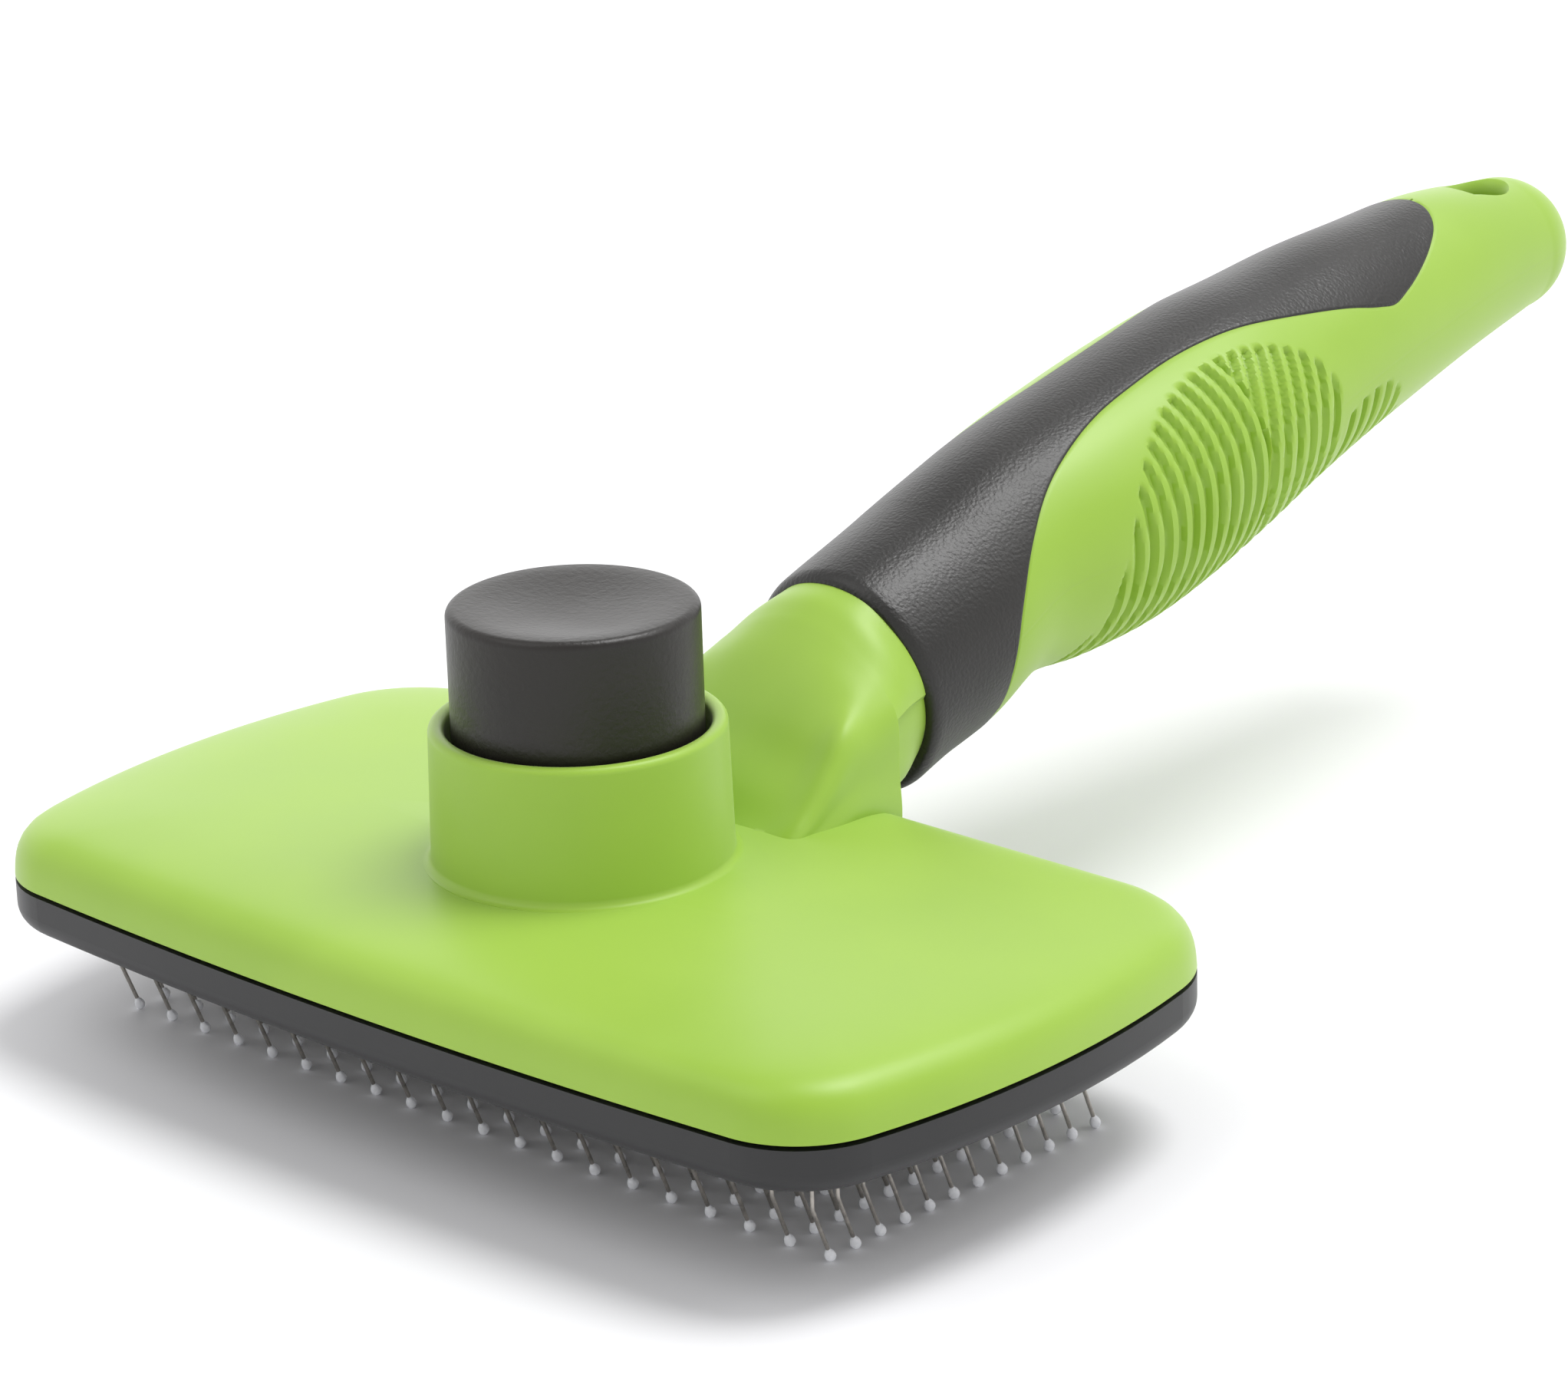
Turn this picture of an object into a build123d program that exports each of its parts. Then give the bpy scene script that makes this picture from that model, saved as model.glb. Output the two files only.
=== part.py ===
from build123d import *
import math
import os

# Self-cleaning slicker brush: a wide pin head with a push button on its back, and a
# hollow soft-grip handle. Millimetres. The sketches below use a working frame whose
# origin is on the parting line of the head, on the centre plane: +X right, +Y from the
# head to the tail, +Z up. Every piece is moved once, on export, so that the part's
# origin is the bottom centre of its bounding box.

os.makedirs("parts", exist_ok=True)

# Head outline, seen from above
HEAD_HALF_WIDTH = 55.0
HEAD_DEPTH = 61.5
SIDE_BULGE = 4.7
FRONT_BULGE = 2.3
FRONT_CORNER_R = 10.7
BACK_CORNER_R = 12.7
BACK_EDGE_Y = -1.5
FRONT_EDGE_Y = BACK_EDGE_Y - HEAD_DEPTH

# Head shell: (inset from the outline, height above the parting line) of its skin
SHELL_SKIN = [(0.0, 0.0), (0.25, 2.6), (1.1, 4.4), (3.0, 5.3), (7.0, 6.0), (14.0, 6.5)]
SHELL_WALL = 2.0
RIM_CAVITY_TOP = 2.4
FIELD_INSET = 5.0
FIELD_CAVITY_TOP = 3.6
SHELL_TOP = 6.5

# Push button and the collar that it slides in
BUTTON_Y = -33.2
BUTTON_R = 12.4
BUTTON_TOP = 32.4
BUTTON_SKIRT_BOTTOM = 17.5
BUTTON_WALL = 1.6
BUTTON_CROWN = 2.2
BUTTON_DISH = 0.9
COLLAR_BASE_R = 14.95
COLLAR_TOP_R = 14.65
COLLAR_TOP = 20.5
COLLAR_BORE_R = 13.05
COLLAR_LIP_R = 0.7
COLLAR_ROOT_R = 1.2

# Plunger: the stem that joins the button to the face plate
STEM_R = 3.5
STEM_FLATS = 5.8
RUNNING_GAP = 0.08
GUIDE_R = 5.2
GUIDE_TOP = 14.0
SOCKET_R = 5.2
SOCKET_BOTTOM = 24.2
SCREW_SHANK_R = 1.2
SCREW_HEAD_R = 2.6
SCREW_HEAD_H = 1.4

# Return spring
SPRING_R = 8.0
SPRING_WIRE_R = 0.55
SPRING_TURNS = 6.5

# Face plate that strips the hair off the pins
PARTING_GAP = 0.5
PLATE_BOTTOM = -5.2
PLATE_FLOOR = 1.8
PLATE_WALL = 1.8
PLATE_EDGE_R = 2.2
BOSS_R = 5.0
BOSS_TOP = -0.7
SLOT_WIDTH = 1.2
SLOT_LENGTH = 2.9

# Pins: a grid of bent wires with round tips
COLUMNS = 20
ROWS = 12
COLUMN_PITCH = 5.02
ROW_PITCH = 3.47
FIRST_ROW_Y = -53.2
CLEAR_RADIUS = 6.2
WIRE_R = 0.21
PIN_HEAD_R = 0.45
PIN_HEAD_H = 0.3
PIN_GAP = 0.02
BEND_Z = -10.8
BEND_R = 1.5
LEAN = 22.5
TIP_BOTTOM = -16.7
TIP_R = 0.55
TIP_LENGTH = 1.45

# Pin board, backing sheet and their screws
BOARD_BOTTOM = 0.3
BOARD_TOP = 2.2
BOARD_INSET = 2.3
SHEET_T = 0.8
SHEET_MARGIN = 1.6
BOARD_SCREW_R = 1.0
BOARD_SCREW_HEAD_R = 1.9
BOARD_SCREW_HEAD_H = 1.3
BOARD_SCREW_TOP = 4.3
BOARD_BOSS_R = 2.3
BOARD_SCREWS = [(-30, -60.0), (0, -60.8), (30, -60.0), (-30, -7.5), (0, -7.5), (30, -7.5),
                (-53.3, -34), (53.3, -34)]

# Neck: rounded-rectangle sections (y, z, tilt of the plane from flat, width, depth, corner)
NECK_RING_Y = 5.0
NECK_RING_Z = 13.6
RING_TILT = 8.5
NECK_SECTIONS = [(-9.9, 3.0, 0.0, 29.0, 16.6, 3.0),
                 (-7.6, 8.6, 28.0, 27.0, 19.0, 6.5),
                 (-3.2, 12.0, 56.0, 24.4, 20.6, 9.6),
                 (NECK_RING_Y, NECK_RING_Z, 90.0 - RING_TILT, 23.2, 22.0, 10.9)]
NECK_BLOCK_HALF = 13.2
NECK_BLOCK_FRONT = -17.0
TANG_R = 8.6
TANG_INSET = 3.7
TANG_LENGTH = 18.0

# Handle: (y, height of the centre line, radius) of its round sections
HANDLE = [(-4.0, 9.9, 12.1), (10.3, 14.6, 12.3), (26.0, 19.9, 12.5), (35.6, 21.3, 13.6),
          (44.9, 22.7, 14.3), (54.2, 24.7, 14.25), (63.5, 26.9, 13.7), (73.0, 28.9, 12.7),
          (83.1, 30.9, 11.8), (93.4, 32.6, 10.9), (104.1, 34.2, 9.95), (119.8, 35.4, 8.7)]
TAIL_END_R = 8.7
TAIL_ANGLES = (25, 48, 68, 85)
GRIP_THICKNESS = 1.5
CAVITY_R = 8.9
CAVITY_MIN_WALL = 1.9
CAVITY_END_Y = 104.1

# Soft grip: a full ring behind the neck, then a tongue along the top
GRIP_RING_LENGTH = 13.9
GRIP_EDGE = [(11.9, 18.6), (9.8, 23.0), (7.4, 29.5), (5.5, 39.0), (5.1, 48.5), (5.9, 57.5),
             (8.0, 68.5), (10.1, 80.5), (9.7, 87.8), (7.1, 95.1), (3.6, 99.5)]
GRIP_END_Y = 100.9

# Hanging hole through the tail
HOLE_Y = 114.8
HOLE_R = 3.0
HOLE_MOUTH_R = 1.3

FRONT_Y = FRONT_EDGE_Y - FRONT_BULGE
END_Y = HANDLE[-1][0] + TAIL_END_R * math.sin(math.radians(TAIL_ANGLES[-1]))


def part_frame():
    """Placement that centres the part and stands its tips on the floor."""
    floor = pin_tip().bounding_box().min.Z
    return Pos(0, -(FRONT_Y + END_Y) / 2, -floor)


def head_outline(inset, z):
    """The head's plan outline, moved inwards by an inset, at one height."""
    x = HEAD_HALF_WIDTH - inset
    front = FRONT_EDGE_Y + inset
    back = BACK_EDGE_Y - inset
    middle = (front + back) / 2
    edges = ThreePointArc((-x, front), (0, front - FRONT_BULGE), (x, front))
    edges += ThreePointArc((x, front), (x + SIDE_BULGE, middle), (x, back))
    edges += Line((x, back), (-x, back))
    edges += ThreePointArc((-x, back), (-x - SIDE_BULGE, middle), (-x, front))
    face = make_face(edges)
    shrink = 0.4 * inset
    corners = face.vertices().sort_by(Axis.Y)
    face = fillet(corners[:2], FRONT_CORNER_R - shrink)
    corners = [v for v in face.vertices() if abs(v.Y - back) < 1e-6]
    face = fillet(corners, BACK_CORNER_R - shrink)
    return Pos(0, 0, z) * face


def head_slab(inset, bottom, top):
    """A flat slab of the head's outline."""
    return extrude(head_outline(inset, bottom), top - bottom)


def cylinder(radius, bottom, top, x=0.0, y=BUTTON_Y):
    """An upright cylinder, on the button's axis unless placed."""
    return Pos(x, y, (bottom + top) / 2) * Cylinder(radius, top - bottom)


def flatted_rod(radius, flats, bottom, top):
    """A rod with two flats, which keep the face plate from turning."""
    box = Pos(0, BUTTON_Y, (bottom + top) / 2) * Box(flats, 4 * radius, top - bottom)
    return cylinder(radius, bottom, top) & box


def neck_solid():
    """The neck: it rises off the head and turns back into the handle's ring."""
    sections = []
    for y, z, tilt, width, depth, corner in NECK_SECTIONS:
        plane = Plane(origin=(0, y, z), x_dir=(1, 0, 0), z_dir=rotated_up(tilt))
        sections.append(plane * RectangleRounded(width, depth, corner))
    elbow = loft(sections)
    block_depth = BACK_EDGE_Y - NECK_BLOCK_FRONT
    block_top = NECK_RING_Z
    block_bottom = RIM_CAVITY_TOP + 1.0
    block = Pos(0, BACK_EDGE_Y - block_depth / 2, (block_top + block_bottom) / 2) * Box(
        2 * NECK_BLOCK_HALF, block_depth, block_top - block_bottom)
    return elbow + block


def rotated_up(tilt):
    """The up direction leaned towards the tail by an angle in degrees."""
    angle = math.radians(tilt)
    return (0, math.sin(angle), math.cos(angle))


def ring_plane(offset=0.0):
    """The plane of the neck's ring, or one parallel to it further along the handle."""
    tilt = math.radians(RING_TILT)
    normal = (0, math.cos(tilt), math.sin(tilt))
    origin = (0, NECK_RING_Y + offset * normal[1], NECK_RING_Z + offset * normal[2])
    return Plane(origin=origin, x_dir=(1, 0, 0), z_dir=normal)


def collar_profile():
    """Half section of the collar: sloping wall, rounded lip and a concave root."""
    inner = COLLAR_BORE_R
    base = COLLAR_BASE_R
    lip = COLLAR_LIP_R
    root = COLLAR_ROOT_R
    edges = Line((inner, SHELL_WALL + 2), (inner, COLLAR_TOP - lip))
    edges += RadiusArc((inner, COLLAR_TOP - lip), (inner + lip, COLLAR_TOP), lip)
    edges += Line((inner + lip, COLLAR_TOP), (COLLAR_TOP_R - lip, COLLAR_TOP))
    edges += RadiusArc((COLLAR_TOP_R - lip, COLLAR_TOP), (COLLAR_TOP_R, COLLAR_TOP - lip), lip)
    edges += Line((COLLAR_TOP_R, COLLAR_TOP - lip), (base, SHELL_TOP + root))
    edges += RadiusArc((base, SHELL_TOP + root), (base + root, SHELL_TOP), -root)
    edges += Line((base + root, SHELL_TOP), (base + root, SHELL_WALL + 2))
    edges += Line((base + root, SHELL_WALL + 2), (inner, SHELL_WALL + 2))
    return make_face(Plane.XZ * edges)


def around_button(profile):
    """Turn a half section about the button's axis."""
    return Pos(0, BUTTON_Y, 0) * revolve(profile, Axis.Z)


def head_shell():
    """Green cover of the head, with the button's collar, the neck and the handle tang."""
    skin = loft([head_outline(inset, z) for inset, z in SHELL_SKIN], ruled=True)
    tang = handle_tube(TANG_INSET, TANG_R) & (beyond_ring(-1.0) - beyond_ring(TANG_LENGTH))
    body = skin + (neck_solid() - beyond_ring(0.0)) + tang
    body -= cylinder(COLLAR_BASE_R - 0.2, SHELL_TOP - 0.6, COLLAR_TOP + 20)
    body += around_button(collar_profile())
    body -= head_slab(SHELL_WALL, -1.0, RIM_CAVITY_TOP)
    body -= head_slab(FIELD_INSET, -1.0, FIELD_CAVITY_TOP)
    for x, y in BOARD_SCREWS:
        body += cylinder(BOARD_BOSS_R, BOARD_TOP, FIELD_CAVITY_TOP + 0.4, x, y)
    for x, y in BOARD_SCREWS:
        body -= cylinder(BOARD_SCREW_R, BOARD_TOP - 1, BOARD_SCREW_TOP, x, y)
    body += cylinder(GUIDE_R, FIELD_CAVITY_TOP, GUIDE_TOP)
    fit = RUNNING_GAP
    body -= flatted_rod(STEM_R + fit, STEM_FLATS + 2 * fit, 0.0, GUIDE_TOP + 1)
    return body


def pin_sites(row):
    """Places of the pins in one row; none stand where the stem comes through."""
    y = FIRST_ROW_Y + row * ROW_PITCH
    sites = []
    for column in range(COLUMNS):
        x = (column - (COLUMNS - 1) / 2) * COLUMN_PITCH
        if math.hypot(x, y - BUTTON_Y) > CLEAR_RADIUS:
            sites.append((x, y))
    return sites


def all_sites():
    """Places of every pin on the head."""
    return [site for row in range(ROWS) for site in pin_sites(row)]


def tip_axis():
    """Direction of the bent end of a pin."""
    lean = math.radians(LEAN)
    return Vector(0, math.sin(lean), -math.cos(lean))


def tip_end():
    """Lowest point of a pin's axis, at the far end of its tip, for a pin at the origin."""
    axis = tip_axis()
    drop = BEND_Z - TIP_BOTTOM
    return Vector(0, 0, BEND_Z) + axis * (drop / -axis.Z)


def pin_wire():
    """One bent wire with its flat head, for a pin at the origin."""
    end = tip_end() - tip_axis() * (TIP_LENGTH * 0.5)
    path = FilletPolyline((0, 0, BOARD_TOP), (0, 0, BEND_Z), end, radius=BEND_R)
    wire = sweep(Plane(origin=(0, 0, BOARD_TOP)) * Circle(WIRE_R), path=path)
    return wire + Pos(0, 0, BOARD_TOP + PIN_HEAD_H / 2) * Cylinder(PIN_HEAD_R, PIN_HEAD_H)


def pin_tip():
    """One egg-shaped tip with a blind socket for the wire."""
    axis = tip_axis()
    profile = make_face(
        Spline((0, 0), (TIP_R * 0.72, TIP_LENGTH * 0.12), (TIP_R, TIP_LENGTH * 0.38),
               (TIP_R * 0.62, TIP_LENGTH * 0.82), (WIRE_R, TIP_LENGTH), tangents=((1, 0), (-0.35, 1)))
        + Line((WIRE_R, TIP_LENGTH), (0, TIP_LENGTH)) + Line((0, TIP_LENGTH), (0, 0)))
    egg = revolve(Plane.XZ * profile, Axis.Z)
    egg -= Pos(0, 0, TIP_LENGTH) * Cylinder(WIRE_R, TIP_LENGTH)
    place = Plane(origin=tip_end(), x_dir=(1, 0, 0), z_dir=-axis)
    return place.location * egg


def row_of(piece, row):
    """Copies of a piece at every place in one row."""
    return Compound(children=[Pos(x, y, 0) * piece for x, y in pin_sites(row)])


def pin_board():
    """Flat board that the pins stand in."""
    board = head_slab(BOARD_INSET, BOARD_BOTTOM, BOARD_TOP)
    holes = Sketch() + [Pos(x, y) * Circle(WIRE_R + PIN_GAP) for x, y in all_sites()]
    screw_holes = Sketch() + [Pos(x, y) * Circle(BOARD_SCREW_R) for x, y in BOARD_SCREWS]
    depth = BOARD_TOP + 1
    board -= extrude(holes, depth)
    board -= extrude(screw_holes, depth)
    return board - cylinder(BOSS_R + 0.5, 0.0, depth)


def backing_sheet():
    """Sheet that holds the pin heads down on the board."""
    width = (COLUMNS - 1) * COLUMN_PITCH + 2 * SHEET_MARGIN
    depth = (ROWS - 1) * ROW_PITCH + 2 * SHEET_MARGIN
    middle = FIRST_ROW_Y + (ROWS - 1) * ROW_PITCH / 2
    bottom = BOARD_TOP + PIN_HEAD_H
    sheet = extrude(Pos(0, middle, bottom) * RectangleRounded(width, depth, 3.0), SHEET_T)
    return sheet - cylinder(STEM_R + 1.0, bottom - 1, bottom + SHEET_T + 1)


def board_screws():
    """Self-tapping screws that hold the pin board up in the shell."""
    screws = []
    for x, y in BOARD_SCREWS:
        shank = cylinder(BOARD_SCREW_R, BOARD_BOTTOM, BOARD_SCREW_TOP, x, y)
        head = cylinder(BOARD_SCREW_HEAD_R, BOARD_BOTTOM - BOARD_SCREW_HEAD_H, BOARD_BOTTOM, x, y)
        slot_z = BOARD_BOTTOM - BOARD_SCREW_HEAD_H
        cross = Box(2.4, 0.5, 1.0) + Box(0.5, 2.4, 1.0)
        screws.append(shank + head - Pos(x, y, slot_z) * cross)
    return Compound(children=screws)


def face_plate():
    """Dark tray that slides down along the pins; each pin has its own slot."""
    top = -PARTING_GAP
    plate = head_slab(0.0, PLATE_BOTTOM, top)
    lower_edges = plate.edges().group_by(Axis.Z)[0]
    plate = fillet(lower_edges, PLATE_EDGE_R)
    plate -= head_slab(PLATE_WALL + 0.4, PLATE_BOTTOM + PLATE_FLOOR, top + 1)
    plate += cylinder(BOSS_R, PLATE_BOTTOM + 1, BOSS_TOP)
    reach = SLOT_LENGTH / 2 - SLOT_WIDTH / 2
    slots = Sketch()
    slots += [Pos(x, y + reach) * SlotOverall(SLOT_LENGTH, SLOT_WIDTH, rotation=90)
              for x, y in all_sites()]
    plate -= extrude(Pos(0, 0, PLATE_BOTTOM - 1) * slots, PLATE_FLOOR + 2)
    plate -= cylinder(SCREW_HEAD_R + 0.1, PLATE_BOTTOM - 1, PLATE_BOTTOM + SCREW_HEAD_H + 0.2)
    return plate - cylinder(SCREW_SHANK_R, PLATE_BOTTOM, BOSS_TOP + 1)


def plunger_stem():
    """Flatted stem between the face plate's boss and the button's socket."""
    stem = flatted_rod(STEM_R, STEM_FLATS, BOSS_TOP, BUTTON_TOP - BUTTON_CROWN)
    return stem - cylinder(SCREW_SHANK_R, BOSS_TOP - 1, BOSS_TOP + 8)


def stem_screw():
    """Screw that joins the stem to the face plate from below."""
    seat = PLATE_BOTTOM + SCREW_HEAD_H + 0.2
    head = cylinder(SCREW_HEAD_R, PLATE_BOTTOM + 0.2, seat)
    shank = cylinder(SCREW_SHANK_R, seat, BOSS_TOP + 7.5)
    cross = Box(3.0, 0.7, 1.4) + Box(0.7, 3.0, 1.4)
    return head + shank - Pos(0, BUTTON_Y, PLATE_BOTTOM + 0.2) * cross


def push_button():
    """Black cup with a dished top, a deep skirt and a socket for the stem."""
    rim = 1.1
    edge = BUTTON_R - 2.2
    inner = BUTTON_R - BUTTON_WALL
    ceiling = BUTTON_TOP - BUTTON_CROWN
    edges = ThreePointArc((0, BUTTON_TOP - BUTTON_DISH), (edge * 0.55, BUTTON_TOP - 0.66),
                          (edge, BUTTON_TOP))
    edges += Line((edge, BUTTON_TOP), (BUTTON_R - rim, BUTTON_TOP))
    edges += RadiusArc((BUTTON_R - rim, BUTTON_TOP), (BUTTON_R, BUTTON_TOP - rim), rim)
    edges += Line((BUTTON_R, BUTTON_TOP - rim), (BUTTON_R, BUTTON_SKIRT_BOTTOM))
    edges += Line((BUTTON_R, BUTTON_SKIRT_BOTTOM), (inner, BUTTON_SKIRT_BOTTOM))
    edges += Line((inner, BUTTON_SKIRT_BOTTOM), (inner, ceiling))
    edges += Line((inner, ceiling), (0, ceiling))
    edges += Line((0, ceiling), (0, BUTTON_TOP - BUTTON_DISH))
    cup = around_button(make_face(Plane.XZ * edges))
    socket = cylinder(SOCKET_R, SOCKET_BOTTOM, ceiling)
    return cup + socket - flatted_rod(STEM_R, STEM_FLATS, SOCKET_BOTTOM - 1, ceiling)


def return_spring():
    """Coil spring between the collar's floor and the button."""
    bottom = FIELD_CAVITY_TOP + SHELL_WALL + 1.0
    top = BUTTON_TOP - BUTTON_CROWN
    height = top - bottom - 2 * SPRING_WIRE_R - 0.1
    start = bottom + SPRING_WIRE_R + 0.05
    coil = Helix(pitch=height / SPRING_TURNS, height=height, radius=SPRING_R)
    section = Plane(origin=coil @ 0, z_dir=coil % 0) * Circle(SPRING_WIRE_R)
    return Pos(0, BUTTON_Y, start) * sweep(section, path=coil)


def handle_tube(inset, limit_radius=99.0, stations=HANDLE):
    """The handle's outer form, or one inset from it, as upright round sections."""
    sections = []
    for y, z, radius in stations:
        r = min(radius - inset, limit_radius)
        sections.append(Plane(origin=(0, y, z), x_dir=(1, 0, 0), z_dir=(0, 1, 0)) * Circle(r))
    return loft(sections)


def round_tail():
    """Sections that close the tail of the handle with a round end."""
    y, z, radius = HANDLE[-1]
    ends = [math.radians(angle) for angle in TAIL_ANGLES]
    return [(y + radius * math.sin(a), z, radius * math.cos(a)) for a in ends]


def handle_outside():
    """The whole outer form of the handle, from the neck's ring to the tail."""
    return handle_tube(0.0, stations=HANDLE + round_tail()) & beyond_ring(0.0)


def beyond_ring(offset):
    """Everything on the tail side of the neck's ring plane, plus an offset."""
    return extrude(ring_plane(offset) * Rectangle(200, 200), 200)


def grip_region():
    """Where the soft grip lies: the ring behind the neck and the tongue on top."""
    ring = beyond_ring(0) - beyond_ring(GRIP_RING_LENGTH)
    right = [(x, y) for x, y in GRIP_EDGE]
    left = [(-x, y) for x, y in reversed(GRIP_EDGE)]
    rear = Spline(*right, (0, GRIP_END_Y), *left)
    front = Polyline((-11.9, 18.6), (-11.9, 12.0), (11.9, 12.0), (11.9, 18.6))
    tongue = extrude(make_face(rear + front), 60.0)
    return ring + upper_half(tongue)


def beside_centre_line(far_z):
    """Everything between the handle's centre line and a far height."""
    line = [(y, z) for y, z, radius in HANDLE]
    first_y, first_z = line[0]
    last_y, last_z = line[-1]
    ends = Polyline((last_y, last_z), (150, last_z), (150, far_z), (-30, far_z), (-30, first_z),
                    (first_y, first_z))
    return extrude(make_face(Plane.YZ * (Spline(*line) + ends)), 30.0, both=True)


def lower_half(shape):
    """The part of a shape below the handle's centre line."""
    return shape & beside_centre_line(-60.0)


def upper_half(shape):
    """The part of a shape above the handle's centre line."""
    return shape & beside_centre_line(90.0)


def hanging_hole():
    """Round hole through the tail with rolled mouths."""
    thick = TAIL_END_R + 1.0
    z = HANDLE[-1][1]
    return Pos(0, HOLE_Y, z) * Cylinder(HOLE_R, 4 * thick)


def rolled_mouth(sign):
    """The ring of material that is cut away to roll one mouth of the hole."""
    z = HANDLE[-1][1] + sign * (TAIL_END_R - 0.1)
    r = HOLE_MOUTH_R
    flare = Cone(HOLE_R, HOLE_R + 2 * r, 2 * r)
    turn = 0 if sign > 0 else 180
    return Pos(0, HOLE_Y, z) * Rot(turn, 0, 0) * flare


def handle_core(half):
    """One green half of the handle's core: hollow, with a bed for the soft grip."""
    outer = handle_outside()
    bed = handle_tube(GRIP_THICKNESS) & beyond_ring(0.0)
    shell = half((outer - grip_region()) + bed)
    hollow_stations = [s for s in HANDLE if s[0] <= CAVITY_END_Y]
    shell -= handle_tube(GRIP_THICKNESS + CAVITY_MIN_WALL, CAVITY_R, hollow_stations)
    return shell - hanging_hole() - rolled_mouth(1) - rolled_mouth(-1)


def soft_grip():
    """Black over-moulded grip."""
    skin = handle_outside() - handle_tube(GRIP_THICKNESS)
    return skin & grip_region()


def build():
    """Make every piece and write it in the part's own frame."""
    wire = pin_wire()
    tip = pin_tip()
    pieces = {
        "head_shell": head_shell(),
        "pin_board": pin_board(),
        "pin_backing_sheet": backing_sheet(),
        "board_screws": board_screws(),
        "face_plate": face_plate(),
        "plunger_stem": plunger_stem(),
        "stem_screw": stem_screw(),
        "push_button": push_button(),
        "return_spring": return_spring(),
        "handle_core_upper": handle_core(upper_half),
        "handle_core_lower": handle_core(lower_half),
        "soft_grip": soft_grip(),
    }
    for row in range(ROWS):
        pieces[f"pin_row_{row + 1:02d}"] = row_of(wire, row)
        pieces[f"pin_tips_{row + 1:02d}"] = row_of(tip, row)
    place = part_frame()
    for node, shape in pieces.items():
        export_step(place * shape, f"parts/{node}.step")


build()
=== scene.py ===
import math

import bmesh
import bpy
import numpy as np
from mathutils import Matrix, Vector


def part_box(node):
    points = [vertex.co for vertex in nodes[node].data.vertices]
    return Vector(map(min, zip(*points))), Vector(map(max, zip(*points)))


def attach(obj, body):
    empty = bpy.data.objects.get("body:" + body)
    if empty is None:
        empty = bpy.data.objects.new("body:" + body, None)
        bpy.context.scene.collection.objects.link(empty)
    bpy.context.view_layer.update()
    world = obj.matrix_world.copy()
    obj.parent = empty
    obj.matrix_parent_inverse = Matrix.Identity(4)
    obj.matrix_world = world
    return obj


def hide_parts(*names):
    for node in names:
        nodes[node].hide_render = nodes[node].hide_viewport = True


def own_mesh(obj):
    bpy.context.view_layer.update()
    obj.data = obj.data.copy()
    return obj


# Self-cleaning slicker brush. Shapes are worked out in millimetres in a working frame: +Y
# runs from the head to the tail, +Z is up, and the head's parting line is at z = 0.
# to_row() turns them into the frame's metres.

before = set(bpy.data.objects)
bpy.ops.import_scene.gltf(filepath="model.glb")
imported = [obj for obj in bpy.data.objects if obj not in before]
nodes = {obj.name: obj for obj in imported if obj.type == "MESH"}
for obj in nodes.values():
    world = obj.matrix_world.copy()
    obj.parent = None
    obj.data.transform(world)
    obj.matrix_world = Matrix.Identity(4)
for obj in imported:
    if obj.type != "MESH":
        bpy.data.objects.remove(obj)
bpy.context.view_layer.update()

MM = 0.001
WELD_MM = 0.004
SLIVER_MM = 0.002
SHARP_ANGLE = 34.0
BUTTON_Y = -33.2
SHIFT_Y = (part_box("push_button")[0].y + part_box("push_button")[1].y) / 2 / MM - BUTTON_Y
SHIFT_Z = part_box("head_shell")[0].z / MM

# Head outline, seen from above, and the skin of its cover as (inset, height)
HEAD_HALF_WIDTH = 55.0
HEAD_DEPTH = 61.5
SIDE_BULGE = 4.7
FRONT_BULGE = 2.3
FRONT_CORNER_R = 10.7
BACK_CORNER_R = 12.7
BACK_EDGE_Y = -1.5
FRONT_EDGE_Y = BACK_EDGE_Y - HEAD_DEPTH
CORNER_SHRINK = 0.4
SHELL_SKIN = [(0.0, 0.0), (0.08, 1.2), (0.3, 2.5), (0.75, 3.6), (1.5, 4.5), (2.7, 5.15), (4.5, 5.6),
              (7.0, 5.95), (10.5, 6.25), (15.0, 6.42), (21.0, 6.5), (27.0, 6.5)]
SKIN_RINGS = 26
SKIN_CROWDING = 1.7
FRONT_STEPS = 22
CORNER_STEPS = 18
SIDE_STEPS = 20
BACK_STEPS = 20

# Hollows under the cover as (inset, height)
CAVITIES = [(2.0, 2.4), (5.0, 3.6)]

# Collar, stem guide, button and spring
COLLAR_BASE_R = 14.95
COLLAR_TOP_R = 14.65
COLLAR_TOP = 20.5
COLLAR_BORE_R = 13.05
COLLAR_LIP_R = 0.72
COLLAR_ROOT_R = 0.8
COLLAR_FLOOR = 5.9
COLLAR_SUNK = 1.5
GUIDE_R = 5.2
GUIDE_BORE_R = 3.58
GUIDE_TOP = 14.0
GUIDE_BOTTOM = 3.0
GUIDE_CHAMFER = 0.4
STEM_HOLE_TOP = 8.0
BUTTON_R = 12.4
BUTTON_TOP = 32.4
BUTTON_SKIRT_BOTTOM = 17.5
BUTTON_RIM_R = 0.9
BUTTON_DISH = 0.9
BUTTON_DISH_BORDER = 0.9
BUTTON_SKIRT_R = 0.3
BUTTON_WALL = 1.6
BUTTON_CEILING = 30.2
SOCKET_BOTTOM = 24.2
SPRING_R = 8.0
SPRING_WIRE_R = 0.55
SPRING_TURNS = 6.5

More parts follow.
